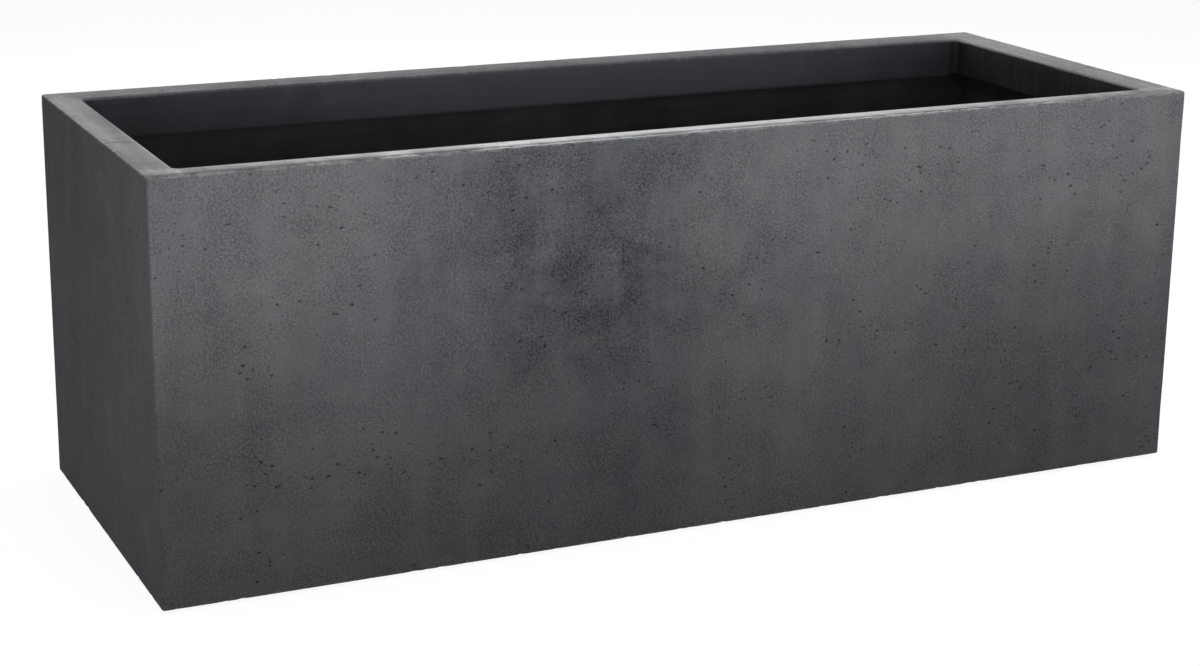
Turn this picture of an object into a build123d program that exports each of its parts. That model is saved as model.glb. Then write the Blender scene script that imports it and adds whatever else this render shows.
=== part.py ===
from build123d import *
import os

# Long rectangular floor planter of cast fibre cement, in millimetres.
# The origin is the middle of the footprint, on the floor.
# X runs along the length, Y from the front face to the back face, Z up.

# Overall size
length = 1000.0
width = 375.0
height = 365.0

# Wall panels, mitred at the upright corners and along the top edge
wall_thickness = 12.0
wall_floor_gap = 3.0
corner_radius = 2.0
top_edge_radius = 1.5
bottom_edge_radius = 1.2

# Rim, folded inward and down into a return lip, cast as two halves
rim_width = 30.0
rim_thickness = 12.0
rim_inner_edge_radius = 3.0
lip_depth = 41.0
lip_thickness = 8.0
lip_edge_radius = 3.5
opening_corner_radius = 5.0

# Butt joint between the rim halves, across both ends, forward of the middle
rim_joint_offset = 48.0
rim_joint_gap = 0.6

# Splice bars bonded under the butt joints, between wall and lip
splice_length = 120.0
splice_height = 20.0
splice_clearance = 0.3

# Base panel on four bonded cleats
base_thickness = 15.0
base_clearance = 0.3
cleat_width = 20.0
cleat_height = 14.0
cleat_clearance = 0.3

# Corner angles, one in each upright inner corner
angle_leg = 40.0
angle_thickness = 3.0
angle_heel_radius = 4.0
angle_edge_radius = 1.0
angle_base_clearance = 10.0
angle_lip_clearance = 50.0

# Screws that hold the corner angles, two in each leg
angle_screw_inset = 25.0
angle_screw_end = 30.0
angle_screw_diameter = 5.0
angle_screw_depth = 8.0
angle_hole_clearance = 0.25
angle_screw_head_diameter = 9.6
angle_screw_head_height = 3.0

# Rubber feet under the base panel
foot_height = 20.0
foot_top_diameter = 46.0
foot_bottom_diameter = 40.0
foot_edge_radius = 1.5
foot_end_inset = 100.0
foot_side_inset = 67.5
foot_counterbore_diameter = 14.0
foot_counterbore_depth = 9.0
foot_hole_clearance = 0.25

# Screws that hold the feet
foot_screw_diameter = 5.5
foot_screw_depth = 11.0
foot_screw_head_diameter = 11.0
foot_screw_head_height = 3.4

# Room round every screw in its pilot hole and past its tip
pilot_clearance = 0.05
pilot_end_room = 1.0

# Slot in the screw heads
slot_width = 1.2
slot_depth = 1.3
head_edge_radius = 1.2

# Drains: a flanged sleeve with a ring nut under the base panel
drain_end_inset = 200.0
drain_bore_diameter = 26.0
drain_sleeve_diameter = 32.0
drain_sleeve_tail = 8.0
drain_sleeve_clearance = 0.1
drain_flange_diameter = 46.0
drain_flange_thickness = 2.5
drain_flange_clearance = 0.5
drain_nut_across = 44.0
drain_nut_height = 5.0
drain_nut_edge_radius = 0.8

# Rubber plugs, pushed into the sleeves from above
plug_clearance = 0.3
plug_tip_setback = 4.0
plug_tip_chamfer = 1.5
plug_head_diameter = 36.0
plug_head_thickness = 4.0
plug_head_edge_radius = 1.5
plug_tab_width = 18.0
plug_tab_thickness = 6.0
plug_tab_height = 15.0
plug_tab_edge_radius = 1.5

# Planes and lines that several pieces share
half_length = length / 2
half_width = width / 2
inner_half_length = half_length - wall_thickness
inner_half_width = half_width - wall_thickness
rim_underside = height - rim_thickness
lip_bottom = height - lip_depth
opening_length = length - 2 * rim_width
opening_width = width - 2 * rim_width
base_underside = foot_height
base_top = base_underside + base_thickness
angle_bottom = base_top + angle_base_clearance
angle_top = lip_bottom - angle_lip_clearance
drain_x = half_length - drain_end_inset
rim_joint_y = -rim_joint_offset

SIDES = {"left": -1, "right": 1}
ENDS = {"front": -1, "back": 1}


def prism(outline, z_low, z_high):
    """A straight prism from a flat outline, between two heights."""
    return extrude(Pos(0, 0, z_low) * outline, amount=z_high - z_low)


def cylinder_between(radius, x, y, z_low, z_high):
    """An upright cylinder between two heights."""
    return Pos(x, y, (z_low + z_high) / 2) * Cylinder(radius, z_high - z_low)


def facing(point, direction, piece):
    """Place a piece so that its own Z axis starts at a point and runs along a direction."""
    return Plane(origin=point, z_dir=direction).location * piece


def outer_block():
    """The full outer block of the planter with its rounded outer edges."""
    block = prism(Rectangle(length, width), wall_floor_gap, height)
    block = fillet(block.edges().filter_by(Axis.Z), corner_radius)
    block = fillet(block.faces().sort_by(Axis.Z)[-1].edges(), top_edge_radius)
    return fillet(block.faces().sort_by(Axis.Z)[0].edges(), bottom_edge_radius)


def mitre_wedge():
    """What lies above the sloping joint between the walls and the rim, widening upward."""
    low = Pos(0, 0, rim_underside) * Rectangle(2 * inner_half_length, 2 * inner_half_width)
    high = Pos(0, 0, height + rim_thickness) * Rectangle(
        length + 2 * wall_thickness, width + 2 * wall_thickness
    )
    return loft([low, high], ruled=True)


def wall_outline(across, sign):
    """Plan of one wall, mitred at both ends: across "y" for front or back, "x" for an end."""
    if across == "y":
        corners = [
            (-half_length, sign * half_width),
            (half_length, sign * half_width),
            (inner_half_length, sign * inner_half_width),
            (-inner_half_length, sign * inner_half_width),
        ]
    else:
        corners = [
            (sign * half_length, -half_width),
            (sign * half_length, half_width),
            (sign * inner_half_length, inner_half_width),
            (sign * inner_half_length, -inner_half_width),
        ]
    return make_face(Polyline(*corners, close=True))


def angle_screw_places():
    """Point on the wall's inner face, outward direction and wall of every angle screw."""
    places = []
    heights = (angle_bottom + angle_screw_end, angle_top - angle_screw_end)
    for end_name, end in ENDS.items():
        for side_name, side in SIDES.items():
            for z in heights:
                along_x = side * (inner_half_length - angle_screw_inset)
                along_y = end * (inner_half_width - angle_screw_inset)
                places.append(((along_x, end * inner_half_width, z), (0, end, 0), end_name))
                places.append(((side * inner_half_length, along_y, z), (side, 0, 0), side_name))
    return places


def wall(name, across, sign):
    """One wall panel with the pilot holes of the angle screws in its inner face."""
    panel = prism(wall_outline(across, sign), wall_floor_gap, height)
    panel = (panel & outer_block()) - mitre_wedge()
    pilot_depth = angle_screw_depth + pilot_end_room
    pilot = Cylinder(
        angle_screw_diameter / 2 + pilot_clearance,
        pilot_depth,
        align=(Align.CENTER, Align.CENTER, Align.MIN),
    )
    for point, direction, wall_name in angle_screw_places():
        if wall_name == name:
            panel -= facing(point, direction, pilot)
    return panel


def whole_rim():
    """The complete rim: flat top with a mitred outer edge, and the return lip below it."""
    opening = RectangleRounded(opening_length, opening_width, opening_corner_radius)
    lip_outer = RectangleRounded(
        opening_length + 2 * lip_thickness,
        opening_width + 2 * lip_thickness,
        opening_corner_radius + lip_thickness,
    )
    top = prism(Rectangle(length, width), rim_underside, height) & outer_block()
    top &= mitre_wedge()
    rim = top + prism(lip_outer, lip_bottom, rim_underside)
    rim -= prism(opening, lip_bottom, height)
    inner_top = rim.faces().sort_by(Axis.Z)[-1].inner_wires()[0].edges()
    rim = fillet(inner_top, rim_inner_edge_radius)
    return fillet(rim.faces().sort_by(Axis.Z)[0].edges(), lip_edge_radius)


def rim_half(sign):
    """One U-shaped half of the rim, cut at the butt joint across both ends."""
    joint = rim_joint_y + sign * rim_joint_gap / 2
    far = sign * width
    keep = Pos(0, (joint + far) / 2, height / 2) * Box(2 * length, abs(far - joint), 2 * height)
    return whole_rim() & keep


def rim_splice(side):
    """A bar bonded to the end wall and under the rim, behind the butt joint."""
    reach = rim_width - lip_thickness - wall_thickness - splice_clearance
    bar = Box(reach, splice_length, splice_height)
    x = side * (inner_half_length - reach / 2)
    return Pos(x, rim_joint_y, rim_underside - splice_height / 2) * bar


def base_cleat(across, sign):
    """A cleat bonded to a wall, that carries one edge of the base panel."""
    z = base_underside - cleat_height / 2
    if across == "y":
        run = 2 * (inner_half_length - cleat_clearance)
        y = sign * (inner_half_width - cleat_width / 2)
        return Pos(0, y, z) * Box(run, cleat_width, cleat_height)
    run = 2 * (inner_half_width - cleat_width - cleat_clearance)
    x = sign * (inner_half_length - cleat_width / 2)
    return Pos(x, 0, z) * Box(cleat_width, run, cleat_height)


def foot_places():
    """Name and plan position of every foot."""
    columns = {
        "left": -(half_length - foot_end_inset),
        "middle": 0.0,
        "right": half_length - foot_end_inset,
    }
    return [
        (f"{end_name}_{column_name}", x, end * (half_width - foot_side_inset))
        for end_name, end in ENDS.items()
        for column_name, x in columns.items()
    ]


def base_panel():
    """The base panel with its drain holes, flange recesses and pilot holes for the feet."""
    plan = Rectangle(
        2 * (inner_half_length - base_clearance), 2 * (inner_half_width - base_clearance)
    )
    panel = prism(plan, base_underside, base_top)
    hole_radius = drain_sleeve_diameter / 2 + drain_sleeve_clearance
    recess_radius = drain_flange_diameter / 2 + drain_flange_clearance
    for side in SIDES.values():
        x = side * drain_x
        panel -= cylinder_between(hole_radius, x, 0, base_underside, base_top)
        panel -= cylinder_between(recess_radius, x, 0, base_top - drain_flange_thickness, base_top)
    pilot_radius = foot_screw_diameter / 2 + pilot_clearance
    pilot_top = base_underside + foot_screw_depth + pilot_end_room
    for _, x, y in foot_places():
        panel -= cylinder_between(pilot_radius, x, y, base_underside, pilot_top)
    return panel


def corner_angle(side, end):
    """A folded steel angle that ties two walls together in one inner corner."""
    heel_x = side * inner_half_length
    heel_y = end * inner_half_width
    outline = make_face(
        Polyline(
            (heel_x, heel_y),
            (heel_x - side * angle_leg, heel_y),
            (heel_x - side * angle_leg, heel_y - end * angle_thickness),
            (heel_x - side * angle_thickness, heel_y - end * angle_thickness),
            (heel_x - side * angle_thickness, heel_y - end * angle_leg),
            (heel_x, heel_y - end * angle_leg),
            close=True,
        )
    )
    angle = prism(outline, angle_bottom, angle_top)
    uprights = angle.edges().filter_by(Axis.Z)
    heel = uprights.sort_by(lambda edge: side * edge.center().X + end * edge.center().Y)[-1]
    angle = fillet(heel, angle_heel_radius)
    bend = angle.edges().filter_by(Axis.Z).sort_by(
        lambda edge: (Vector(heel_x - side * angle_thickness, heel_y - end * angle_thickness, 0)
                      - Vector(edge.center().X, edge.center().Y, 0)).length
    )[0]
    angle = fillet(bend, angle_edge_radius)
    hole = Cylinder(
        angle_screw_diameter / 2 + angle_hole_clearance,
        2 * angle_thickness,
    )
    for point, direction, _ in angle_screw_places():
        if point[0] * side > 0 and point[1] * end > 0:
            angle -= facing(point, direction, hole)
    return angle


def screw(diameter, reach, head_diameter, head_height):
    """A slotted round-head screw: head below its own XY plane, shank along its own +Z."""
    shank = Cylinder(
        diameter / 2, reach, align=(Align.CENTER, Align.CENTER, Align.MIN)
    )
    head = Cylinder(
        head_diameter / 2, head_height, align=(Align.CENTER, Align.CENTER, Align.MAX)
    )
    head = fillet(head.faces().sort_by(Axis.Z)[0].edges(), head_edge_radius)
    slot = Pos(0, 0, -head_height + slot_depth / 2) * Box(head_diameter, slot_width, slot_depth)
    return (shank + head) - slot


def angle_screws():
    """All the screws of the corner angles."""
    reach = angle_thickness + angle_screw_depth
    one = screw(angle_screw_diameter, reach, angle_screw_head_diameter, angle_screw_head_height)
    placed = []
    for point, direction, _ in angle_screw_places():
        seat = tuple(p - angle_thickness * d for p, d in zip(point, direction))
        placed.append(facing(seat, direction, one))
    return placed


def foot_pad(x, y):
    """A rubber foot with a counterbored hole for its screw."""
    pad = Cone(
        foot_bottom_diameter / 2,
        foot_top_diameter / 2,
        foot_height,
        align=(Align.CENTER, Align.CENTER, Align.MIN),
    )
    pad = fillet(pad.faces().sort_by(Axis.Z)[0].edges(), foot_edge_radius)
    hole_radius = foot_screw_diameter / 2 + foot_hole_clearance
    pad -= cylinder_between(foot_counterbore_diameter / 2, 0, 0, 0, foot_counterbore_depth)
    pad -= cylinder_between(hole_radius, 0, 0, foot_counterbore_depth, foot_height)
    return Pos(x, y, 0) * pad


def foot_screws():
    """The screws that hold the feet to the base panel."""
    reach = foot_height - foot_counterbore_depth + foot_screw_depth
    one = screw(foot_screw_diameter, reach, foot_screw_head_diameter, foot_screw_head_height)
    return [Pos(x, y, foot_counterbore_depth) * one for _, x, y in foot_places()]


def drain_sleeve(x):
    """A flanged sleeve: the flange lies flush in the base panel, the tail hangs below it."""
    tail_bottom = base_underside - drain_sleeve_tail
    sleeve = cylinder_between(drain_sleeve_diameter / 2, x, 0, tail_bottom, base_top)
    flange_bottom = base_top - drain_flange_thickness
    sleeve += cylinder_between(drain_flange_diameter / 2, x, 0, flange_bottom, base_top)
    return sleeve - cylinder_between(drain_bore_diameter / 2, x, 0, tail_bottom, base_top)


def drain_nut(x):
    """The six-sided ring nut that clamps the sleeve from below."""
    outline = RegularPolygon(drain_nut_across / 2, 6, major_radius=False)
    nut_bottom = base_underside - drain_nut_height
    nut = prism(Pos(x, 0) * outline, nut_bottom, base_underside)
    nut = fillet(nut.faces().sort_by(Axis.Z)[0].edges(), drain_nut_edge_radius)
    hole_radius = drain_sleeve_diameter / 2 + drain_sleeve_clearance
    return nut - cylinder_between(hole_radius, x, 0, nut_bottom, base_underside)


def drain_plug(x):
    """A rubber plug with a broad head on the flange and a grip tab on top."""
    tip = base_underside - drain_sleeve_tail + plug_tip_setback
    body_radius = drain_bore_diameter / 2 - plug_clearance
    body = cylinder_between(body_radius, x, 0, tip, base_top)
    body = chamfer(body.faces().sort_by(Axis.Z)[0].edges(), plug_tip_chamfer)
    head_top = base_top + plug_head_thickness
    head = cylinder_between(plug_head_diameter / 2, x, 0, base_top, head_top)
    head = fillet(head.faces().sort_by(Axis.Z)[-1].edges(), plug_head_edge_radius)
    tab = Pos(x, 0, head_top + plug_tab_height / 2) * Box(
        plug_tab_width, plug_tab_thickness, plug_tab_height
    )
    tab = fillet(
        tab.edges().filter_by(Axis.Z) + tab.faces().sort_by(Axis.Z)[-1].edges(),
        plug_tab_edge_radius,
    )
    return body + head + tab


def assembly():
    """Every piece of the planter by name."""
    pieces = {
        "wall_front": wall("front", "y", -1),
        "wall_back": wall("back", "y", 1),
        "wall_left": wall("left", "x", -1),
        "wall_right": wall("right", "x", 1),
        "rim_front": rim_half(-1),
        "rim_back": rim_half(1),
        "base_panel": base_panel(),
        "base_cleat_front": base_cleat("y", -1),
        "base_cleat_back": base_cleat("y", 1),
        "base_cleat_left": base_cleat("x", -1),
        "base_cleat_right": base_cleat("x", 1),
        "angle_screws": angle_screws(),
        "foot_screws": foot_screws(),
    }
    for side_name, side in SIDES.items():
        pieces[f"rim_splice_{side_name}"] = rim_splice(side)
        pieces[f"drain_sleeve_{side_name}"] = drain_sleeve(side * drain_x)
        pieces[f"drain_nut_{side_name}"] = drain_nut(side * drain_x)
        pieces[f"drain_plug_{side_name}"] = drain_plug(side * drain_x)
        for end_name, end in ENDS.items():
            pieces[f"corner_angle_{end_name}_{side_name}"] = corner_angle(side, end)
    for name, x, y in foot_places():
        pieces[f"foot_{name}"] = foot_pad(x, y)
    return pieces


os.makedirs("parts", exist_ok=True)
for node, piece in assembly().items():
    solids = piece if isinstance(piece, list) else piece.solids()
    export_step(Compound(children=list(solids)), f"parts/{node}.step")
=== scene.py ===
"""Long rectangular floor planter of dark cast fibre cement, dressed for the camera."""
import logging
import math
from dataclasses import dataclass, field, replace
from enum import Enum
from typing import ClassVar, Iterable, Optional, Union

import bmesh
import bpy
from mathutils import Matrix, Vector, noise


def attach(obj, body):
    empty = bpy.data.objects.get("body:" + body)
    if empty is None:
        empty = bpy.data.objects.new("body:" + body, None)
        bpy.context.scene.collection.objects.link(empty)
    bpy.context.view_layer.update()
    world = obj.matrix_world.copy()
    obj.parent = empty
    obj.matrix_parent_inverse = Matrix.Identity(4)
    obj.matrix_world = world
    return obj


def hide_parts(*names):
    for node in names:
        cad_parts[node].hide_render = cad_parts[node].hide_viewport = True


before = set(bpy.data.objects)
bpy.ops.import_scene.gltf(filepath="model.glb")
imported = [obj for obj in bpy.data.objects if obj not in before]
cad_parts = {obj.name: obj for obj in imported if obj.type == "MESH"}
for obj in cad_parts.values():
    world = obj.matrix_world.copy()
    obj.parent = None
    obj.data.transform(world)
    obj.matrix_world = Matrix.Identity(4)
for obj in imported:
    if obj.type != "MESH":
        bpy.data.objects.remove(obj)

LOG = logging.getLogger("planter")

Socket = bpy.types.NodeSocket
Outputs = bpy.types.NodeOutputs
Material = bpy.types.Material
Mesh = bmesh.types.BMesh
Place = tuple[float, float, float]
Colour = tuple[float, float, float, float]
Feed = Union[Socket, float, tuple]
Steps = tuple[tuple[float, float], ...]

WELD = 1e-6
SHARP_EDGE = math.radians(38.0)


class CoatZone(Enum):
    """Where the dark sealing coat lies on a cement piece."""

    WALL = "behind the outer faces"
    RIM = "below the rounded inner edge"
    FLOOR = "on the upper face"


def screen(red: float, green: float, blue: float) -> Colour:
    """Turn screen values into the linear colour that a shader takes.

    Args:
        red: Red from 0 to 255.
        green: Green from 0 to 255.
        blue: Blue from 0 to 255.

    Returns:
        The linear colour with full alpha.
    """
    linear = []
    for value in (red, green, blue):
        share = value / 255.0
        linear.append(share / 12.92 if share <= 0.04045 else ((share + 0.055) / 1.055) ** 2.4)
    return (linear[0], linear[1], linear[2], 1.0)


@dataclass(frozen=True)
class TroughSizes:
    """Sizes of the trough in metres, the same as those of its solids."""

    length: float = 1.000
    width: float = 0.375
    height: float = 0.365
    wall: float = 0.012
    floor_gap: float = 0.003
    rim_width: float = 0.030
    rim_thickness: float = 0.012
    lip_depth: float = 0.041
    lip_thickness: float = 0.008
    corner_radius: float = 0.002
    edge_radius: float = 0.0015
    inner_edge_radius: float = 0.003
    crown_reach: float = 0.012
    crown_drop: float = 0.0010
    lip_edge_radius: float = 0.0035
    opening_radius: float = 0.005
    joint_y: float = -0.048
    joint_gap: float = 0.0006
    base_top: float = 0.035

    @property
    def half_length(self) -> float:
        """Half the outer length."""
        return self.length / 2

    @property
    def half_width(self) -> float:
        """Half the outer width."""
        return self.width / 2


class Graph:
    """A shader node tree with short calls for the nodes that the finishes use."""

    MIX_SOCKETS: ClassVar[dict[str, tuple[int, int, int]]] = {"FLOAT": (2, 3, 0), "RGBA": (6, 7, 2)}

    def __init__(self, tree: bpy.types.NodeTree) -> None:
        """Work on one node tree."""
        self.tree = tree

    @classmethod
    def blank(cls, owner: Union[Material, bpy.types.World]) -> "Graph":
        """The emptied node tree of a new material or world."""
        owner.use_nodes = True
        owner.node_tree.nodes.clear()
        return cls(owner.node_tree)

    def feed(self, socket: Socket, value: Feed) -> None:
        """Link a socket into an input, or write a plain value there."""
        if isinstance(value, Socket):
            self.tree.links.new(value, socket)
        else:
            socket.default_value = value

    def add(
        self, kind: str, inputs: Optional[dict[Union[str, int], Feed]] = None, **settings: object
    ) -> bpy.types.Node:
        """Add a node.

        Args:
            kind: Blender's name for the node's type.
            inputs: What goes into its inputs, by name or number.
            settings: Properties to set on the node.

        Returns:
            The new node.
        """
        node = self.tree.nodes.new(kind)
        for name, value in settings.items():
            setattr(node, name, value)
        for key, value in (inputs or {}).items():
            self.feed(node.inputs[key], value)
        return node

    def coords(self) -> Socket:
        """Place on the object, in metres."""
        return self.add("ShaderNodeTexCoord").outputs["Object"]

    def rays(self, *kinds: str) -> Socket:
        """1 for the kinds of ray that are named, and 0 for all others."""
        path = self.add("ShaderNodeLightPath").outputs
        found = path[kinds[0]]
        for kind in kinds[1:]:
            found = self.math("MAXIMUM", found, path[kind])
        return found

    def math(self, operation: str, first: Feed, second: Feed = 0.0, third: Feed = 0.0) -> Socket:
        """Combine numbers.

        Args:
            operation: Blender's name for the operation.
            first: The first number.
            second: The second number.
            third: The third number, where the operation takes one.

        Returns:
            The result.
        """
        numbers = {0: first, 1: second, 2: third}
        return self.add("ShaderNodeMath", numbers, operation=operation).outputs[0]

    def about(self, value: Feed, amount: float, middle: float = 0.0) -> Socket:
        """Keep an amount of the swing of a value about one half, and move its middle."""
        return self.math("MULTIPLY_ADD", value, amount, middle - 0.5 * amount)

    def vector(self, operation: str, first: Feed, second: Feed) -> Socket:
        """Combine two vectors; see math."""
        node = self.add("ShaderNodeVectorMath", {0: first, 1: second}, operation=operation)
        return node.outputs["Vector"]

    def split(self, vector: Feed) -> Outputs:
        """The X, Y and Z of a vector."""
        return self.add("ShaderNodeSeparateXYZ", {0: vector}).outputs

    def noise(
        self,
        vector: Feed,
        scale: float,
        detail: float = 4.0,
        roughness: float = 0.55,
        distortion: float = 0.0,
        output: str = "Fac",
    ) -> Socket:
        """Fractal noise.

        Args:
            vector: Where it is read.
            scale: Features to the metre.
            detail: Number of finer layers.
            roughness: Strength of each finer layer.
            distortion: How far the pattern is pulled about.
            output: Fac for one value, or Color for three.

        Returns:
            A value that varies about one half.
        """
        inputs = {
            "Vector": vector,
            "Scale": scale,
            "Detail": detail,
            "Roughness": roughness,
            "Distortion": distortion,
        }
        return self.add("ShaderNodeTexNoise", inputs).outputs[output]

    def cells(self, vector: Feed, scale: float) -> Outputs:
        """Random cells, so many to the metre: distance to the nearest centre, and a colour for each."""
        inputs = {"Vector": vector, "Scale": scale}
        return self.add("ShaderNodeTexVoronoi", inputs, feature="F1").outputs

    def ramp(self, value: Feed, low: float, high: float) -> Socket:
        """Rise smoothly from 0 at one value to 1 at another.

        Args:
            value: The value that is mapped.
            low: Where the result is 0.
            high: Where the result is 1; below low, the result falls instead.

        Returns:
            The result, from 0 to 1.
        """
        falls = high < low
        inputs = {
            "Value": value,
            "From Min": min(low, high),
            "From Max": max(low, high),
            "To Min": 1.0 if falls else 0.0,
            "To Max": 0.0 if falls else 1.0,
        }
        node = self.add("ShaderNodeMapRange", inputs, interpolation_type="SMOOTHSTEP")
        return node.outputs["Result"]

    def blend(self, kind: str, factor: Feed, first: Feed, second: Feed, **settings: object) -> Socket:
        """Mix two values.

        Args:
            kind: Blender's name for the kind of value.
            factor: How much of the second.
            first: The first value.
            second: The second value.
            settings: Properties to set on the node.

        Returns:
            The mixed value.
        """
        start, end, out = self.MIX_SOCKETS[kind]
        inputs = {0: factor, start: first, end: second}
        return self.add("ShaderNodeMix", inputs, data_type=kind, **settings).outputs[out]

    def mix(self, factor: Feed, first: Feed, second: Feed, way: str = "MIX") -> Socket:
        """Mix two colours in the way that Blender calls by that name; see blend."""
        return self.blend("RGBA", factor, first, second, blend_type=way)

    def between(self, factor: Feed, first: Feed, second: Feed) -> Socket:
        """Mix two numbers; see blend."""
        return self.blend("FLOAT", factor, first, second)

    def show(self, shader: bpy.types.Node, output: str = "ShaderNodeOutputMaterial") -> None:
        """Send a shader to the tree's output."""
        self.add(output, {"Surface": shader.outputs[0]})

    def surface(self, inputs: dict[str, Feed], height: Feed, strength: float, deep: float) -> None:
        """Close a material with a principled shader and its relief.

        Args:
            inputs: The shader's inputs by name.
            height: The relief's height, in units of deep.
            strength: How strongly the relief shows.
            deep: The unit of height in metres.
        """
        relief = {"Strength": strength, "Distance": deep, "Height": height}
        bump = self.add("ShaderNodeBump", relief)
        inputs = {**inputs, "Normal": bump.outputs["Normal"]}
        self.show(self.add("ShaderNodeBsdfPrincipled", inputs))


class Effect:
    """A shader node group, built once and placed in any number of finishes."""

    title: ClassVar[str] = ""
    gives: ClassVar[tuple[str, ...]] = ()

    def wire(self, graph: Graph, where: Socket) -> dict[str, Socket]:
        """Wire the group.

        Args:
            graph: The group's tree.
            where: The group's vector input.

        Returns:
            Each output's value by name.
        """
        raise NotImplementedError

    def tree(self) -> bpy.types.NodeTree:
        """The group's tree, made the first time it is asked for."""
        found = bpy.data.node_groups.get(self.title)
        if found:
            return found
        tree = bpy.data.node_groups.new(self.title, "ShaderNodeTree")
        tree.interface.new_socket(name="Vector", in_out="INPUT", socket_type="NodeSocketVector")
        for name in self.gives:
            tree.interface.new_socket(name=name, in_out="OUTPUT", socket_type="NodeSocketFloat")
        graph = Graph(tree)
        source = graph.add("NodeGroupInput")
        sink = graph.add("NodeGroupOutput")
        for name, value in self.wire(graph, source.outputs["Vector"]).items():
            graph.feed(sink.inputs[name], value)
        return tree

    def place(self, graph: Graph, where: Feed) -> Outputs:
        """Place the group in a material, and return its outputs."""
        return graph.add("ShaderNodeGroup", {"Vector": where}, node_tree=self.tree()).outputs


class CementClouds(Effect):
    """Smoky mottling of every size, from a hand's breadth down to a grain of sand."""

    title = "cement_clouds"
    gives = ("Tone", "Tint", "Ragged")

    def wire(self, graph: Graph, where: Socket) -> dict[str, Socket]:
        """Wire the group; see Effect.wire."""
        wide = graph.noise(where, 5.0, detail=2.0, roughness=0.5, distortion=0.4)
        smoke = graph.noise(where, 21.0, detail=6.0, roughness=0.84, distortion=0.25)
        tint = graph.noise(graph.vector("ADD", where, (3.7, 1.9, 5.3)), 9.0, detail=5.0, distortion=0.8)
        ragged = graph.noise(where, 17.0, detail=8.0, roughness=0.74, distortion=0.6)
        return {
            "Tone": graph.between(0.75, wide, smoke),
            "Tint": graph.ramp(tint, 0.42, 0.62),
            "Ragged": ragged,
        }


class CementGrain(Effect):
    """Fine sand grain in the face of the casting."""

    title = "cement_grain"
    gives = ("Speckle", "Height")

    def wire(self, graph: Graph, where: Socket) -> dict[str, Socket]:
        """Wire the group; see Effect.wire."""
        fine = graph.noise(where, 640.0, detail=2.0, roughness=0.7)
        coarse = graph.noise(where, 400.0, detail=2.0, roughness=0.65)
        gritty = graph.ramp(graph.noise(where, 28.0, detail=5.0, roughness=0.65), 0.38, 0.62)
        strength = graph.math("MULTIPLY_ADD", gritty, 1.0, 0.55)
        swing = graph.math("MULTIPLY", graph.about(graph.between(0.42, fine, coarse), 1.0), strength)
        return {"Speckle": graph.ramp(swing, -0.18, 0.18), "Height": swing}


@dataclass(frozen=True)
class PoreSize:
    """One size of pore: cells to the metre, largest radius in metres, and share of cells that hold one."""

    scale: float
    radius: float
    share: float
    smallest: float = 0.35

    def pits(self, graph: Graph, where: Feed) -> Socket:
        """Round pits, one at most in each cell.

        Args:
            graph: The group's tree.
            where: The place on the surface.

        Returns:
            1 in a pit and 0 outside.
        """
        cells = graph.cells(where, self.scale)
        chance = graph.split(cells["Color"])
        largest = self.radius * self.scale
        least = self.smallest * largest
        size = graph.math("MULTIPLY_ADD", chance[1], largest - least, least)
        pit = graph.ramp(graph.math("DIVIDE", cells["Distance"], size), 1.0, 0.62)
        held = graph.math("GREATER_THAN", chance[0], 1.0 - self.share)
        return graph.math("MULTIPLY", pit, held)


class CementPores(Effect):
    """Trapped air: many small pores, and a few pinholes a few millimetres wide."""

    title = "cement_pores"
    gives = ("Pits", "Depth")
    flatter: ClassVar[Place] = (1.0, 1.0, 1.5)
    raggedness: ClassVar[Place] = (0.0030, 0.0030, 0.0030)
    dust: ClassVar[PoreSize] = PoreSize(270.0, 0.0009, 0.45)
    small: ClassVar[PoreSize] = PoreSize(150.0, 0.0021, 0.85)
    large: ClassVar[PoreSize] = PoreSize(24.0, 0.0022, 0.16)

    def wire(self, graph: Graph, where: Socket) -> dict[str, Socket]:
        """Wire the group; see Effect.wire."""
        ragged = graph.noise(where, 260.0, detail=2.0, roughness=0.5, output="Color")
        shift = graph.vector("MULTIPLY", ragged, self.raggedness)
        bent = graph.vector("ADD", graph.vector("MULTIPLY", where, self.flatter), shift)
        gathered = graph.ramp(graph.noise(where, 15.0, detail=3.0), 0.48, 0.58)
        dust = self.dust.pits(graph, bent)
        small = graph.math("MULTIPLY", self.small.pits(graph, bent), gathered)
        large = self.large.pits(graph, bent)
        shallow = graph.math("MAXIMUM", graph.math("MULTIPLY", dust, 0.5), graph.math("MULTIPLY", small, 0.9))
        depth = graph.math("MULTIPLY_ADD", small, 1.1, graph.math("MULTIPLY", dust, 0.15))
        return {
            "Pits": graph.math("MAXIMUM", shallow, large),
            "Depth": graph.math("MULTIPLY_ADD", large, 1.3, depth),
        }


class EdgeWear(Effect):
    """Rubbed and chipped edges, from the wear that the mesh carries."""

    title = "edge_wear"
    gives = ("Worn", "Rubbed")

    def wire(self, graph: Graph, where: Socket) -> dict[str, Socket]:
        """Wire the group; see Effect.wire."""
        carried = graph.add("ShaderNodeAttribute", attribute_name="wear").outputs["Fac"]
        broken = graph.noise(where, 95.0, detail=6.0, roughness=0.72)
        reach = graph.math("ADD", carried, graph.about(broken, 2.6))
        # Rubbed also carries the painted highlight line along the lip's rolled lower edge.
        return {"Worn": graph.ramp(reach, 0.80, 1.05), "Rubbed": graph.ramp(carried, 0.05, 0.9)}


class Streaks(Effect):
    """Faint drag marks along each axis, left by a float or by water."""

    title = "drag_streaks"
    gives = ("Along", "Across", "Upright")

    def wire(self, graph: Graph, where: Socket) -> dict[str, Socket]:
        """Wire the group; see Effect.wire."""
        made = {}
        for name, stretch in (
            ("Along", (3.0, 150.0, 90.0)),
            ("Across", (150.0, 5.0, 90.0)),
            ("Upright", (36.0, 36.0, 3.2)),
        ):
            drawn = graph.vector("MULTIPLY", where, stretch)
            made[name] = graph.ramp(graph.noise(drawn, 1.0, detail=4.0, roughness=0.6), 0.36, 0.64)
        return made


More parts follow.
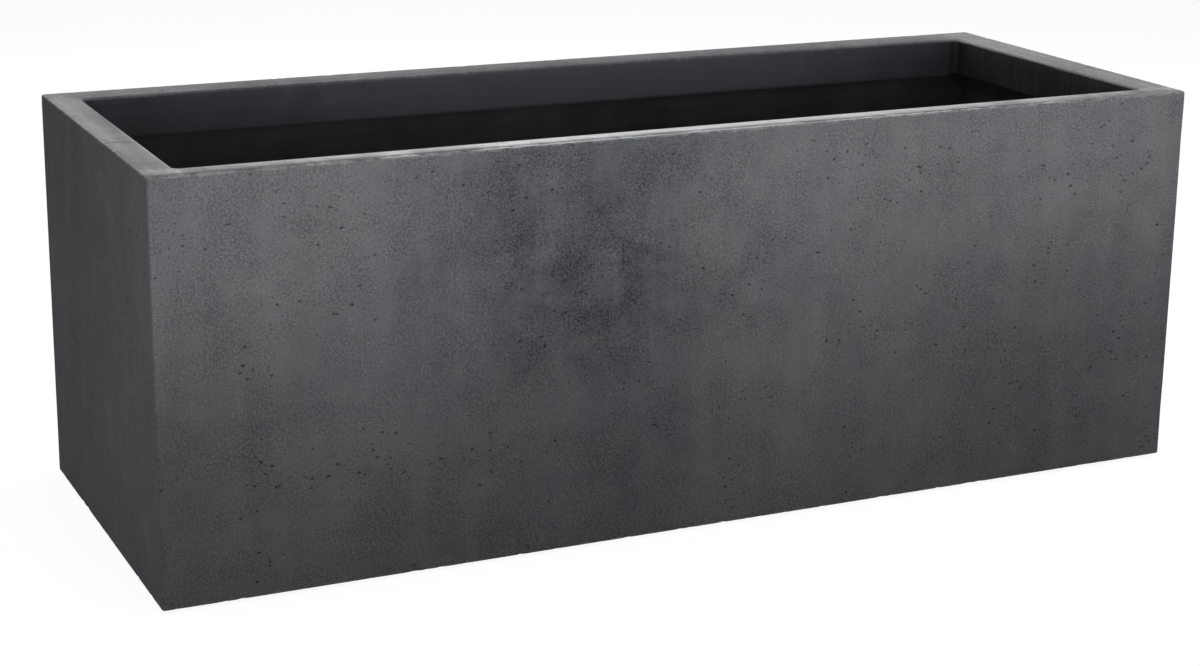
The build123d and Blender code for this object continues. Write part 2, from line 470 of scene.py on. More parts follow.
@dataclass(frozen=True)
class Surface:
    """What a finish reads: its tree, the place, its X, Y and Z, and noise that breaks up outlines."""

    graph: Graph
    where: Socket
    axes: Outputs
    ragged: Socket


@dataclass(frozen=True)
class Mark:
    """A smoky patch, a patch of painted light or shade, or a pit with a place of its own."""

    at: Place
    reach: Place
    gain: float
    soft: tuple[float, float] = (1.2, 0.0)
    rag: float = 1.7

    def shade(self, read: Surface) -> Socket:
        """The mark's gain at its middle, falling to 0 round it."""
        graph = read.graph
        share = tuple(1.0 / reach for reach in self.reach)
        moved = graph.vector("MULTIPLY", graph.vector("SUBTRACT", read.where, self.at), share)
        length = graph.add("ShaderNodeVectorMath", {0: moved}, operation="LENGTH").outputs["Value"]
        distance = graph.math("ADD", length, graph.about(read.ragged, self.rag))
        return graph.math("MULTIPLY", graph.ramp(distance, *self.soft), self.gain)


@dataclass(frozen=True)
class Cement:
    """Cast fibre cement with its clouds, grain, pores, worn edges and dark inner coat, and marks that paint
    light and shade onto it.
    """

    name: str
    zone: CoatZone
    bare: Colour = screen(102, 101, 104)
    tint: Colour = screen(98, 101, 105)
    worn: Colour = screen(160, 160, 161)
    hole: Colour = screen(26, 26, 28)
    coat: Colour = screen(57, 57, 59)
    coat_range: tuple[float, float] = (0.35, 3.0)
    roughness: float = 0.86
    coat_roughness: float = 0.50
    specular: float = 0.05
    pores: float = 1.0
    grain: float = 0.58
    relief: float = 1.6
    mottle: float = 0.9
    streaks: float = 0.08
    wear: float = 0.26
    # Gain on the outer few millimetres of the rim top: painted shade.
    painted_arris_shade: float = -0.14
    outline_rag: float = 0.006
    tint_share: float = 0.35
    tint_in_dark: float = 1.8
    hole_dark: float = 0.75
    hole_height: float = -0.7
    coat_swing: float = 0.36
    # How far the coat is rubbed through to bare cement; on the lip's rolled lower edge this paints a
    # highlight line.
    coat_rubbed_and_highlight: float = 0.55
    coat_relief: float = 0.06
    # Marks on the bare cement: mottle, joint lines, painted highlights and painted shade.
    marks_and_painted_light: tuple[Mark, ...] = ()
    # Marks on the coat: a lighter smudge, and painted shade on the end lips.
    coat_marks_and_painted_shade: tuple[Mark, ...] = ()
    polish: tuple[Mark, ...] = ()
    pits: tuple[Mark, ...] = ()
    sizes: TroughSizes = TroughSizes()

    def depths(self, read: Surface) -> tuple[Socket, Socket]:
        """How far a place lies in from the ends, and from the front or back."""
        halves = (self.sizes.half_length, self.sizes.half_width)
        from_end, from_side = (
            read.graph.math("SUBTRACT", half, read.graph.math("ABSOLUTE", axis))
            for half, axis in zip(halves, read.axes)
        )
        return from_end, from_side

    def marked(self, read: Surface, value: Socket, marks: tuple[Mark, ...], way: str = "ADD") -> Socket:
        """Lay marks on a value, by ADD or SUBTRACT."""
        for mark in marks:
            value = read.graph.math(way, value, mark.shade(read))
        return value

    def coat_mask(self, read: Surface) -> Socket:
        """Where the dark coat lies.

        Args:
            read: What the finish reads.

        Returns:
            1 on the coat and 0 on bare cement.
        """
        graph = read.graph
        if self.zone is CoatZone.RIM:
            edge = self.sizes.height - self.sizes.inner_edge_radius - 0.0005
            level = graph.math("ADD", read.axes[2], graph.about(read.ragged, self.outline_rag))
            return graph.ramp(level, edge + 0.0008, edge - 0.0010)
        if self.zone is CoatZone.FLOOR:
            place, face = read.axes[2], self.sizes.base_top
        else:
            place, face = graph.math("MINIMUM", *self.depths(read)), self.sizes.wall
        return graph.ramp(place, face - 0.002, face - 0.001)

    def drag(self, read: Surface) -> Socket:
        """Drag marks about one half: upright on a wall, and along each side of the rim."""
        marks = Streaks().place(read.graph, read.where)
        if self.zone is not CoatZone.RIM:
            return marks["Upright"]
        from_end, from_side = self.depths(read)
        on_end = read.graph.math("LESS_THAN", from_end, from_side)
        return read.graph.between(on_end, marks["Along"], marks["Across"])

    def lightness(self, read: Surface, tone: Socket) -> Socket:
        """How light the bare cement is, against its plain colour.

        Args:
            read: What the finish reads.
            tone: The clouds' tone, about one half.

        Returns:
            The lightness, about 1.
        """
        graph = read.graph
        gain = graph.about(tone, self.mottle, 1.0)
        gain = graph.math("ADD", gain, graph.about(self.drag(read), self.streaks))
        # The marks add mottle, and also painted highlights and painted shade.
        gain = self.marked(read, gain, self.marks_and_painted_light)
        if self.zone is CoatZone.RIM:
            inward = graph.math("MINIMUM", *self.depths(read))
            inward = graph.math("ADD", inward, graph.about(read.ragged, self.outline_rag))
            # Darken the rim top's outer band: painted shade.
            gain = graph.math("MULTIPLY_ADD", graph.ramp(inward, 0.0052, 0.0036), self.painted_arris_shade, gain)
        return gain

    def holes(self, read: Surface) -> tuple[Socket, Socket]:
        """The pores, and the pits that have a place of their own.

        Args:
            read: What the finish reads.

        Returns:
            How dark and how deep they are, each from 0 to 1 or a little more.
        """
        graph = read.graph
        pores = CementPores().place(graph, read.where)
        dark = graph.math("MULTIPLY", pores["Pits"], self.pores)
        depth = graph.math("MULTIPLY", pores["Depth"], self.pores)
        if self.pits:
            read = replace(read, ragged=graph.noise(read.where, 330.0, detail=4.0, roughness=0.7))
        for pit in self.pits:
            placed = pit.shade(read)
            dark = graph.math("MAXIMUM", dark, placed)
            depth = graph.math("MAXIMUM", depth, placed)
        return dark, depth

    def bare_face(self, read: Surface) -> tuple[Socket, Socket, Socket]:
        """Colour, relief and wear of the bare cement.

        Args:
            read: What the finish reads.

        Returns:
            The colour, the height in millimetres, and the wear from 0 to 1.
        """
        graph = read.graph
        clouds = CementClouds().place(graph, read.where)
        grain = CementGrain().place(graph, read.where)
        worn = EdgeWear().place(graph, read.where)["Worn"]
        gain = self.lightness(read, clouds["Tone"])
        darkness = graph.math("MULTIPLY", graph.math("SUBTRACT", 1.0, gain), self.tint_in_dark)
        tinted = graph.math("MULTIPLY_ADD", clouds["Tint"], self.tint_share, darkness)
        tinted.node.use_clamp = True
        gain = graph.math("ADD", gain, graph.about(grain["Speckle"], self.grain))
        spread = graph.add("ShaderNodeCombineColor", {0: gain, 1: gain, 2: gain}).outputs[0]
        colour = graph.mix(1.0, graph.mix(tinted, self.bare, self.tint), spread, "MULTIPLY")
        dark, depth = self.holes(read)
        colour = graph.mix(graph.math("MULTIPLY", dark, self.hole_dark), colour, self.hole)
        colour = graph.mix(graph.math("MULTIPLY", worn, self.wear), colour, self.worn)
        sunk = graph.math("MULTIPLY", depth, self.hole_height)
        return colour, graph.math("MULTIPLY_ADD", grain["Height"], self.relief, sunk), worn

    def coat_face(self, read: Surface) -> tuple[Socket, Socket]:
        """Colour and relief of the brushed-on dark coat, rubbed through to bare cement on the long edges;
        along the lip's rolled lower edge this light line is a painted highlight.

        Args:
            read: What the finish reads.

        Returns:
            The colour, and the height in millimetres.
        """
        graph = read.graph
        marks = Streaks().place(graph, read.where)
        brushed = graph.between(0.35, marks["Along"], marks["Upright"])
        blot = graph.ramp(graph.noise(read.where, 9.0, detail=6.0, roughness=0.6), 0.36, 0.64)
        amount = graph.about(graph.between(0.55, brushed, blot), self.coat_swing, 0.5)
        # The coat marks include painted shade on the end lips.
        amount = self.marked(read, amount, self.coat_marks_and_painted_shade)
        darker, lighter = (
            tuple(share * value for value in self.coat[:3]) + (1.0,) for share in self.coat_range
        )
        # Rubbed-through coat: wear, and on the lip's rolled lower edge a painted highlight line.
        rubbed = EdgeWear().place(graph, read.where)["Rubbed"]
        on_length = graph.ramp(self.depths(read)[0], 0.034, 0.045)
        rubbed = graph.math("MULTIPLY", graph.math("MULTIPLY", rubbed, on_length), self.coat_rubbed_and_highlight)
        colour = graph.mix(rubbed, graph.mix(amount, darker, lighter), self.bare)
        return colour, graph.math("MULTIPLY", brushed, self.coat_relief)

    def material(self) -> Material:
        """The finished material."""
        made = bpy.data.materials.new(self.name)
        graph = Graph.blank(made)
        where = graph.coords()
        ragged = CementClouds().place(graph, where)["Ragged"]
        read = Surface(graph, where, graph.split(where), ragged)
        coat = self.coat_mask(read)
        bare, bare_height, worn = self.bare_face(read)
        dark, dark_height = self.coat_face(read)
        rough = graph.math("MULTIPLY_ADD", worn, -0.10, graph.about(ragged, 0.5, self.roughness))
        rough = self.marked(read, rough, self.polish, "SUBTRACT")
        inputs = {
            "Base Color": graph.mix(coat, bare, dark),
            "Roughness": graph.between(coat, rough, self.coat_roughness),
            "Specular IOR Level": self.specular,
        }
        graph.surface(inputs, graph.between(coat, bare_height, dark_height), strength=1.0, deep=0.001)
        return made


@dataclass(frozen=True)
class Zinc:
    """Zinc-coated steel with its crystal spangle, or the finer grain of a plated screw."""

    name: str
    bright: Colour = screen(186, 188, 190)
    dull: Colour = screen(138, 141, 145)
    spangle: float = 95.0
    roughness: float = 0.42
    metallic: float = 0.9

    def material(self) -> Material:
        """The finished material."""
        made = bpy.data.materials.new(self.name)
        graph = Graph.blank(made)
        where = graph.coords()
        crystal = graph.split(graph.cells(where, self.spangle)["Color"])[0]
        dulled = graph.ramp(graph.noise(where, 24.0, detail=6.0, roughness=0.65), 0.38, 0.66)
        amount = graph.between(0.45, crystal, dulled)
        inputs = {
            "Base Color": graph.mix(amount, self.bright, self.dull),
            "Roughness": graph.math("MULTIPLY_ADD", amount, 0.22, self.roughness - 0.08),
            "Metallic": self.metallic,
        }
        graph.surface(inputs, graph.noise(where, 420.0, detail=3.0), strength=0.25, deep=0.0003)
        return made


@dataclass(frozen=True)
class Moulded:
    """Moulded rubber or plastic: fine mould texture with a little dust on it."""

    name: str
    base: Colour
    dusty: Colour
    roughness: float
    texture: float
    specular: float = 0.4

    def material(self) -> Material:
        """The finished material."""
        made = bpy.data.materials.new(self.name)
        graph = Graph.blank(made)
        where = graph.coords()
        dust = graph.ramp(graph.noise(where, 60.0, detail=7.0, roughness=0.7), 0.42, 0.74)
        inputs = {
            "Base Color": graph.mix(dust, self.base, self.dusty),
            "Roughness": graph.math("MULTIPLY_ADD", dust, 0.2, self.roughness),
            "Specular IOR Level": self.specular,
        }
        graph.surface(inputs, graph.noise(where, self.texture, detail=3.0), strength=0.4, deep=0.0002)
        return made


@dataclass(frozen=True)
class Ring:
    """One loop round the planter: how far in from the outer face, how high, and how worn."""

    offset: float
    z: float
    radius: float
    wear: float = 0.0
    lean: tuple[float, float] = (0.0, 0.0)


@dataclass(frozen=True)
class Station:
    """One stop on the way round: the corner or side point it belongs to, and the way out."""

    anchor: tuple[float, float]
    out: tuple[float, float]
    corner: float


@dataclass(frozen=True)
class Nicks:
    """How the cast edges wander and where bits of them are missing, in metres."""

    wander: float = 0.00010
    nick: float = 0.0012
    flake: float = 0.0018
    grit: float = 0.00010

    def depth(self, place: Vector) -> float:
        """How much of the edge is gone at a place.

        Args:
            place: A point on the edge.

        Returns:
            The depth of the missing material.
        """
        slow = 0.5 + 0.5 * noise.noise(place * 31.0)
        small = max(0.0, noise.noise(place * 150.0 + Vector((4.0, 1.0, 7.0))) - 0.28)
        large = max(0.0, noise.noise(place * 52.0 + Vector((9.0, 5.0, 2.0))) - 0.42)
        rough = 0.5 + 0.5 * noise.noise(place * 480.0)
        return self.wander * slow + self.nick * small + self.flake * large + self.grit * rough


@dataclass
class CastShell:
    """A cast shell that runs round the planter, made by folding one loop through a section."""

    sizes: TroughSizes
    pitch: float = 0.003
    corner_steps: int = 6
    corner_gone: float = 0.6
    corner_wear: float = 0.62
    nicks: Nicks = field(default_factory=Nicks)

    def stations(self) -> list[Station]:
        """Every stop round the plan, anticlockwise from the front left corner."""
        corners = ((-1.0, -1.0), (1.0, -1.0), (1.0, 1.0), (-1.0, 1.0))
        runs = (self.sizes.length, self.sizes.width, self.sizes.length, self.sizes.width)
        stops = []
        for index, corner in enumerate(corners):
            for step in range(self.corner_steps + 1):
                angle = math.pi + 0.5 * math.pi * (index + step / self.corner_steps)
                stops.append(Station(corner, (math.cos(angle), math.sin(angle)), 1.0))
            onward = corners[(index + 1) % len(corners)]
            angle = math.pi + 0.5 * math.pi * (index + 1)
            out = (math.cos(angle), math.sin(angle))
            count = int(runs[index] / self.pitch)
            for step in range(1, count):
                share = step / count
                x, y = (start + (end - start) * share for start, end in zip(corner, onward))
                stops.append(Station((x, y), out, 0.0))
        return stops

    def point(self, station: Station, offset: float, z: float, radius: float) -> Vector:
        """Where a station of a ring lies.

        Args:
            station: The stop on the way round.
            offset: Distance in from the outer face.
            z: Height.
            radius: Corner radius of the ring.

        Returns:
            The point.
        """
        halves = (self.sizes.half_length, self.sizes.half_width)
        x, y = (
            anchor * (half - offset - radius) + out * radius
            for anchor, half, out in zip(station.anchor, halves, station.out)
        )
        return Vector((x, y, z))

    def weathered(self, station: Station, ring: Ring) -> Vector:
        """Where a station of a ring lies once its edge is worn.

        Args:
            station: The stop on the way round.
            ring: The ring.

        Returns:
            The worn point, never outside the sharp one.
        """
        fresh = self.point(station, ring.offset, ring.z, ring.radius)
        if not ring.wear and not station.corner:
            return fresh
        gone = self.nicks.depth(fresh)
        inward = ring.lean[0] * ring.wear * gone
        down = ring.lean[1] * ring.wear * gone
        if station.corner and ring.offset < self.sizes.wall / 2:
            inward += self.corner_gone * gone
        return self.point(station, ring.offset + inward, ring.z + down, ring.radius)

    def fold(self, rings: list[Ring]) -> Mesh:
        """Fold one loop through the rings, and close it on itself.

        Args:
            rings: The section, as rings; the last one joins the first.

        Returns:
            The closed shell.
        """
        stops = self.stations()
        shell = bmesh.new()
        place = shell.verts.layers.int.new("station")
        wear = shell.verts.layers.float.new("wear")
        loop = bmesh.ops.create_circle(shell, segments=len(stops), radius=1.0)["verts"]
        for index, vert in enumerate(loop):
            vert[place] = index
        edges = list(shell.edges)
        self.lay(loop, rings[0], stops, place, wear)
        for ring in [*rings[1:], rings[0]]:
            grown = bmesh.ops.extrude_edge_only(shell, edges=edges)["geom"]
            loop = [item for item in grown if isinstance(item, bmesh.types.BMVert)]
            edges = [item for item in grown if isinstance(item, bmesh.types.BMEdge)]
            self.lay(loop, ring, stops, place, wear)
        bmesh.ops.remove_doubles(shell, verts=shell.verts, dist=WELD)
        bmesh.ops.recalc_face_normals(shell, faces=shell.faces)
        return shell

    def lay(
        self,
        loop: Iterable[bmesh.types.BMVert],
        ring: Ring,
        stops: list[Station],
        place: bmesh.types.BMLayerItem,
        wear: bmesh.types.BMLayerItem,
    ) -> None:
        """Lay a loop's points on a ring.

        Args:
            loop: The loop's points.
            ring: The ring.
            stops: Every stop round the plan.
            place: The layer that holds each point's stop.
            wear: The layer that holds each point's wear.
        """
        for vert in loop:
            station = stops[vert[place]]
            vert.co = self.weathered(station, ring)
            outer = ring.offset < self.sizes.wall / 2
            vert[wear] = max(ring.wear, self.corner_wear * station.corner if outer else 0.0)


def arc(
    centre: tuple[float, float], radius: float, start: float, end: float, steps: int
) -> list[tuple[float, float, float]]:
    """Points on an arc of the section.

    Args:
        centre: The arc's centre, as offset and height.
        radius: Its radius.
        start: The first angle in degrees.
        end: The last angle in degrees.
        steps: Number of steps.

    Returns:
        Offset, height and angle of each point.
    """
    points = []
    for step in range(steps + 1):
        angle = math.radians(start + (end - start) * step / steps)
        points.append((centre[0] + radius * math.cos(angle), centre[1] + radius * math.sin(angle), angle))
    return points


def keep_side(mesh: Mesh, point: Place, away: Place) -> None:
    """Cut a closed mesh with a plane, drop the far side and close the cut.

    Args:
        mesh: The mesh.
        point: A point on the plane.
        away: The direction of the side that is dropped.
    """
    every = [*mesh.verts, *mesh.edges, *mesh.faces]
    bmesh.ops.bisect_plane(mesh, geom=every, dist=WELD, plane_co=point, plane_no=away, clear_outer=True)
    open_edges = [edge for edge in mesh.edges if edge.is_boundary]
    bmesh.ops.holes_fill(mesh, edges=open_edges, sides=0)


def settle(mesh: Mesh, name: str, material: Material) -> bpy.types.Object:
    """Turn a finished mesh into a shown piece of the planter.

    Args:
        mesh: The finished mesh.
        name: The piece's name.
        material: Its finish.

    Returns:
        The piece, riding on the planter's body.
    """
    for edge in mesh.edges:
        edge.smooth = edge.calc_face_angle(0.0) < SHARP_EDGE
    for face in mesh.faces:
        face.smooth = True
    data = bpy.data.meshes.new(name)
    mesh.to_mesh(data)
    mesh.free()
    data.materials.append(material)
    piece = bpy.data.objects.new(name, data)
    bpy.context.scene.collection.objects.link(piece)
    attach(piece, "planter")
    LOG.info("%s: %d faces", name, len(data.polygons))
    return piece


def dress(name: str, material: Material) -> None:
    """Give a solid of the frame its finish."""
    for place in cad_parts[name].material_slots:
        place.material = material
    LOG.info("%s: %s", name, material.name)


@dataclass
class WallPanels:
    """The four cast walls, mitred at the upright corners and along the top edge."""

    SIDES: ClassVar[dict[str, tuple[float, float]]] = {
        "front": (0.0, -1.0),
        "back": (0.0, 1.0),
        "left": (-1.0, 0.0),
        "right": (1.0, 0.0),
    }
    TOP_WEAR: ClassVar[Steps] = ((0.0010, 0.7), (0.0025, 0.35), (0.0045, 0.0))
    FOOT_WEAR: ClassVar[Steps] = ((0.006, 0.0), (0.003, 0.25), (0.0012, 0.6))

    sizes: TroughSizes = field(default_factory=TroughSizes)
    first_row: float = 0.014
    row_pitch: float = 0.030
    bottom_radius: float = 0.0012
    crease: float = 0.0010

    def section(self) -> list[Ring]:
        """The wall's section, from the top mitre down the outside and up the inside."""
        s = self.sizes
        plan = s.corner_radius
        top = s.height - s.edge_radius
        low = s.floor_gap + self.bottom_radius
        rows = int((top - low - self.row_pitch) / self.row_pitch)
        edge = arc((s.edge_radius, top), s.edge_radius, 135.0, 180.0, 2)
        foot = arc((self.bottom_radius, low), self.bottom_radius, 180.0, 270.0, 3)
        return [
            *(Ring(offset, z, plan, 1.0, (0.7, -0.7)) for offset, z, _ in edge),
            *(Ring(0.0, top - drop, plan, wear, (0.7, -0.5)) for drop, wear in self.TOP_WEAR),
            *(Ring(0.0, top - self.first_row - row * self.row_pitch, plan) for row in range(rows + 1)),
            *(Ring(0.0, low + rise, plan, wear, (0.7, 0.4)) for rise, wear in self.FOOT_WEAR),
            *(Ring(offset, z, plan, 1.0, (0.7, 0.7)) for offset, z, _ in foot),
            Ring(s.wall - self.crease, s.floor_gap, 0.0012),
            Ring(s.wall, s.floor_gap + self.crease, self.crease),
            Ring(s.wall, s.height / 2, self.crease),
            Ring(s.wall, s.height - s.rim_thickness, self.crease),
        ]

    def build(self, long_face: Material, end_face: Material) -> None:
        """Make the four panels.

        Args:
            long_face: Finish of the front and back panels.
            end_face: Finish of the end panels.
        """
        s = self.sizes
        whole = CastShell(s).fold(self.section())
        for name, out in self.SIDES.items():
            panel = whole.copy()
            keep_side(panel, (0.0, 0.0, 0.0), (-out[0], -out[1], 0.0))
            for way in (-1.0, 1.0):
                along = (way * abs(out[1]), way * abs(out[0]))
                corner = ((out[0] + along[0]) * s.half_length, (out[1] + along[1]) * s.half_width, 0.0)
                keep_side(panel, corner, (along[0] - out[0], along[1] - out[1], 0.0))
            self.show(panel, name, long_face if out[1] else end_face)
        whole.free()

    def show(self, panel: Mesh, name: str, material: Material) -> None:
        """Show one panel in place of its solid."""
        piece = settle(panel, f"wall_panel_{name}", material)
        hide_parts(f"wall_{name}")


@dataclass
class FoldedRim:
    """The rim: flat on top, rounded over and folded down into a lip, in two halves."""

    TOP_WEAR: ClassVar[Steps] = ((0.0026, 0.7), (0.0042, 0.35), (0.0065, 0.0), (0.012, 0.0))
    CROWN_STEPS: ClassVar[int] = 4
    LIP_ROWS: ClassVar[tuple[float, ...]] = (0.010, 0.019, 0.028)
    LIP_GUARD: ClassVar[float] = 0.0012
    FOLD_WEAR: ClassVar[float] = 0.12
    # Wear on the lip's rolled lower edge, shown as a painted highlight line.
    LIP_PAINTED_HIGHLIGHT: ClassVar[float] = 0.8
    CREASE: ClassVar[float] = 0.0010

    sizes: TroughSizes = field(default_factory=TroughSizes)

    def section(self) -> list[Ring]:
        """The rim's section, from the mitre over the top and down the lip."""
        s = self.sizes
        plan, opening, lip = s.corner_radius, s.opening_radius, s.rim_width
        bend, roll = s.inner_edge_radius, s.lip_edge_radius
        crown = lip - bend - s.crown_reach
        level = s.height - s.lip_depth + roll
        back = lip - s.lip_thickness
        under = s.height - s.rim_thickness
        tilt = math.degrees(2.0 * s.crown_drop / s.crown_reach)
        edge = arc((s.edge_radius, s.height - s.edge_radius), s.edge_radius, 135.0, 90.0, 2)
        falls = [step / self.CROWN_STEPS for step in range(self.CROWN_STEPS + 1)]
        fold = arc((lip - bend, s.height - bend - s.crown_drop), bend, 90.0 - tilt, 0.0, 6)
        front_roll = arc((lip - roll, level), roll, 0.0, -90.0, 9)
        back_roll = arc((back + roll, level), roll, -90.0, -180.0, 3)
        return [
            *(Ring(offset, z, plan, 1.0, (0.7, -0.7)) for offset, z, _ in edge),
            *(Ring(offset, s.height, plan, wear, (0.5, -0.5)) for offset, wear in self.TOP_WEAR),
            *(Ring(crown + fall * s.crown_reach, s.height - s.crown_drop * fall**2, plan) for fall in falls),
            *(Ring(offset, z, opening + lip - offset, self.FOLD_WEAR, (-0.7, -0.7)) for offset, z, _ in fold),
            *(Ring(lip, s.height - drop, opening) for drop in self.LIP_ROWS),
            Ring(lip, level + self.LIP_GUARD, opening),
            # The lip's rolled lower edge carries wear that paints a highlight line on the coat.
            *(
                Ring(offset, z, opening + lip - offset, self.LIP_PAINTED_HIGHLIGHT * max(0.0, math.sin(-2.6 * angle)))
                for offset, z, angle in front_roll
            ),
            *(Ring(offset, z, opening + lip - offset) for offset, z, _ in back_roll),
            Ring(back, under, opening + s.lip_thickness),
            Ring(s.wall, under, self.CREASE),
        ]

    def build(self, material: Material) -> None:
        """Make the two halves.

        Args:
            material: Their finish.
        """
        s = self.sizes
        whole = CastShell(s).fold(self.section())
        for name, side in (("front", -1.0), ("back", 1.0)):
            half = whole.copy()
            keep_side(half, (0.0, s.joint_y + side * s.joint_gap / 2, 0.0), (0.0, -side, 0.0))
            piece = settle(half, f"rim_half_{name}", material)
            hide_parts(f"rim_{name}")
        whole.free()


@dataclass
class InnerWorks:
    """What the shell holds: base, cleats, splices, angles, drains, feet and screws.

    The finish of a solid is the first one here whose key its name starts with.
    """

    finishes: dict[str, Material]

    def build(self) -> None:
        """Dress the solids that keep their own shape."""
        shaped = {"wall_front", "wall_back", "wall_left", "wall_right", "rim_front", "rim_back"}
        for name in sorted(set(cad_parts) - shaped):
            start = next(start for start in self.finishes if name.startswith(start))
            dress(name, self.finishes[start])


@dataclass(frozen=True)
class Softbox:
    """A plain soft lamp that faces a point."""

    name: str
    place: Place
    aim: Place
    wide: float
    deep: float
    power: float

    def build(self) -> None:
        """Hang the lamp."""
        data = bpy.data.lights.new(self.name, "AREA")
        data.shape = "RECTANGLE"
        data.size = self.wide
        data.size_y = self.deep
        data.energy = self.power
        lamp = bpy.data.objects.new(self.name, data)
        lamp.location = self.place
        turn = (Vector(self.aim) - Vector(self.place)).to_track_quat("-Z", "Y")
        lamp.rotation_euler = turn.to_euler()
        lamp.visible_camera = False
        bpy.context.scene.collection.objects.link(lamp)


@dataclass
class Studio:
    """Pale floor, soft lamps and the camera."""

    ambient: float = 0.12
    floor_half: float = 9.0
    floor_colour: Colour = (0.62, 0.62, 0.62, 1.0)
    floor_glowing: float = 0.74
    floor_glow: float = 1.25
    lamps: tuple[Softbox, ...] = (
        Softbox("key", (0.0, -0.40, 0.37), (0.0, -0.19, 0.35), 2.0, 0.12, 2.50),
        Softbox("fill", (-0.5, -3.0, 1.3), (0.0, -0.19, 0.18), 2.0, 1.5, 4.0),
        Softbox("overhead", (0.0, 0.10, 1.8), (0.0, 0.10, 0.36), 1.8, 0.8, 15.0),
        Softbox("behind", (0.2, 2.4, 1.6), (0.0, 0.10, 0.30), 1.8, 0.9, 14.6),
        Softbox("right", (2.6, 0.3, 1.3), (0.4, 0.0, 0.25), 1.2, 1.2, 18.0),
    )
    lens: float = 71.595
    sensor: float = 36.0
    drop: float = -0.05
    clip: tuple[float, float] = (0.05, 60.0)
    eye: Place = (-0.94861, -1.97035, 0.77442)
    right: Place = (0.90628, -0.42250, 0.01196)
    down: Place = (-0.09842, -0.23848, -0.96615)

    def world(self) -> None:
        """Light the room evenly, and show it white to the camera and in reflections."""
        world = bpy.data.worlds.new("studio")
        graph = Graph.blank(world)
        seen = graph.rays("Is Camera Ray", "Is Glossy Ray", "Is Transmission Ray")
        inputs = {"Strength": graph.between(seen, self.ambient, 1.0), "Color": (1.0, 1.0, 1.0, 1.0)}
        graph.show(graph.add("ShaderNodeBackground", inputs), "ShaderNodeOutputWorld")
        bpy.context.scene.world = world

    def floor(self) -> None:
        """Lay the floor, near white to the camera, with the planter's soft shadow on it."""
        mesh = bmesh.new()
        bmesh.ops.create_grid(mesh, x_segments=1, y_segments=1, size=self.floor_half)
        data = bpy.data.meshes.new("studio_floor")
        mesh.to_mesh(data)
        mesh.free()
        made = bpy.data.materials.new("pale_floor")
        graph = Graph.blank(made)
        glowing = graph.math("MULTIPLY", graph.rays("Is Camera Ray", "Is Glossy Ray"), self.floor_glowing)
        plain = graph.add("ShaderNodeBsdfDiffuse", {"Color": self.floor_colour})
        glow = graph.add("ShaderNodeEmission", {"Strength": self.floor_glow})
        shaders = {0: glowing, 1: plain.outputs[0], 2: glow.outputs[0]}
        graph.show(graph.add("ShaderNodeMixShader", shaders))
        data.materials.append(made)
        floor = bpy.data.objects.new("studio_floor", data)
        bpy.context.scene.collection.objects.link(floor)

    def camera(self) -> None:
        """Stand the camera where the photograph was taken."""
        data = bpy.data.cameras.new("camera")
        data.lens = self.lens
        data.sensor_width = self.sensor
        data.shift_y = self.drop
        data.clip_start, data.clip_end = self.clip
        right = Vector(self.right).normalized()
        up = -Vector(self.down).normalized()
        back = right.cross(up).normalized()
        turn = Matrix((right, back.cross(right), back)).transposed()
        camera = bpy.data.objects.new("camera", data)
        camera.matrix_world = Matrix.Translation(self.eye) @ turn.to_4x4()
        bpy.context.scene.collection.objects.link(camera)
        bpy.context.scene.camera = camera

    def build(self) -> None:
        """Set up the room, the lamps and the camera."""
        self.world()
        self.floor()
        for lamp in self.lamps:
            lamp.build()
        self.camera()
        bpy.context.scene.view_settings.view_transform = "Standard"


def long_face() -> Cement:
    """The front and back: darker in the middle and towards the bottom, partly mottle and partly painted
    shade, with single pits along the front.
    """
    # Clouds as x, z, width, height and gain. The dark ones in the middle are partly the cement's smoky mottle
    # and partly painted shade; the low dark ones are painted shade, darker towards the bottom.
    clouds = (
        (-0.12, 0.330, 0.110, 0.12, -0.24),
        (-0.13, 0.310, 0.20, 0.12, -0.17),
        (-0.18, 0.215, 0.16, 0.080, -0.13),
        (-0.04, 0.215, 0.16, 0.080, -0.13),
        (-0.22, 0.330, 0.10, 0.13, -0.08),
        (-0.05, 0.345, 0.09, 0.08, -0.09),
        (-0.12, 0.090, 0.165, 0.20, -0.20),
        (0.32, 0.110, 0.16, 0.16, -0.12),
        (-0.50, 0.110, 0.07, 0.09, -0.10),
        (-0.30, 0.140, 0.07, 0.07, 0.08),
        (0.075, 0.140, 0.07, 0.07, 0.08),
    )
    pits = (
        (-0.334, 0.2450, 0.0034, 0.0016),
        (-0.342, 0.3100, 0.0024, 0.0017),
        (-0.436, 0.3220, 0.0034, 0.0012),
        (-0.314, 0.2300, 0.0026, 0.0012),
        (0.206, 0.3160, 0.0036, 0.0015),
        (0.342, 0.3060, 0.0036, 0.0013),
        (0.461, 0.2990, 0.0022, 0.0016),
        (0.478, 0.2370, 0.0040, 0.0014),
        (0.104, 0.2460, 0.0030, 0.0014),
    )
    face = -TroughSizes().half_width
    return Cement(
        "cement_long_face",
        CoatZone.WALL,
        marks_and_painted_light=tuple(Mark((x, face, z), (wide, 0.30, tall), gain) for x, z, wide, tall, gain in clouds),
        pits=tuple(
            Mark((x, face, z), (0.8 * wide, 0.02, 0.85 * tall), 0.9, (1.0, 0.60), 2.8)
            for x, z, wide, tall in pits
        ),
    )


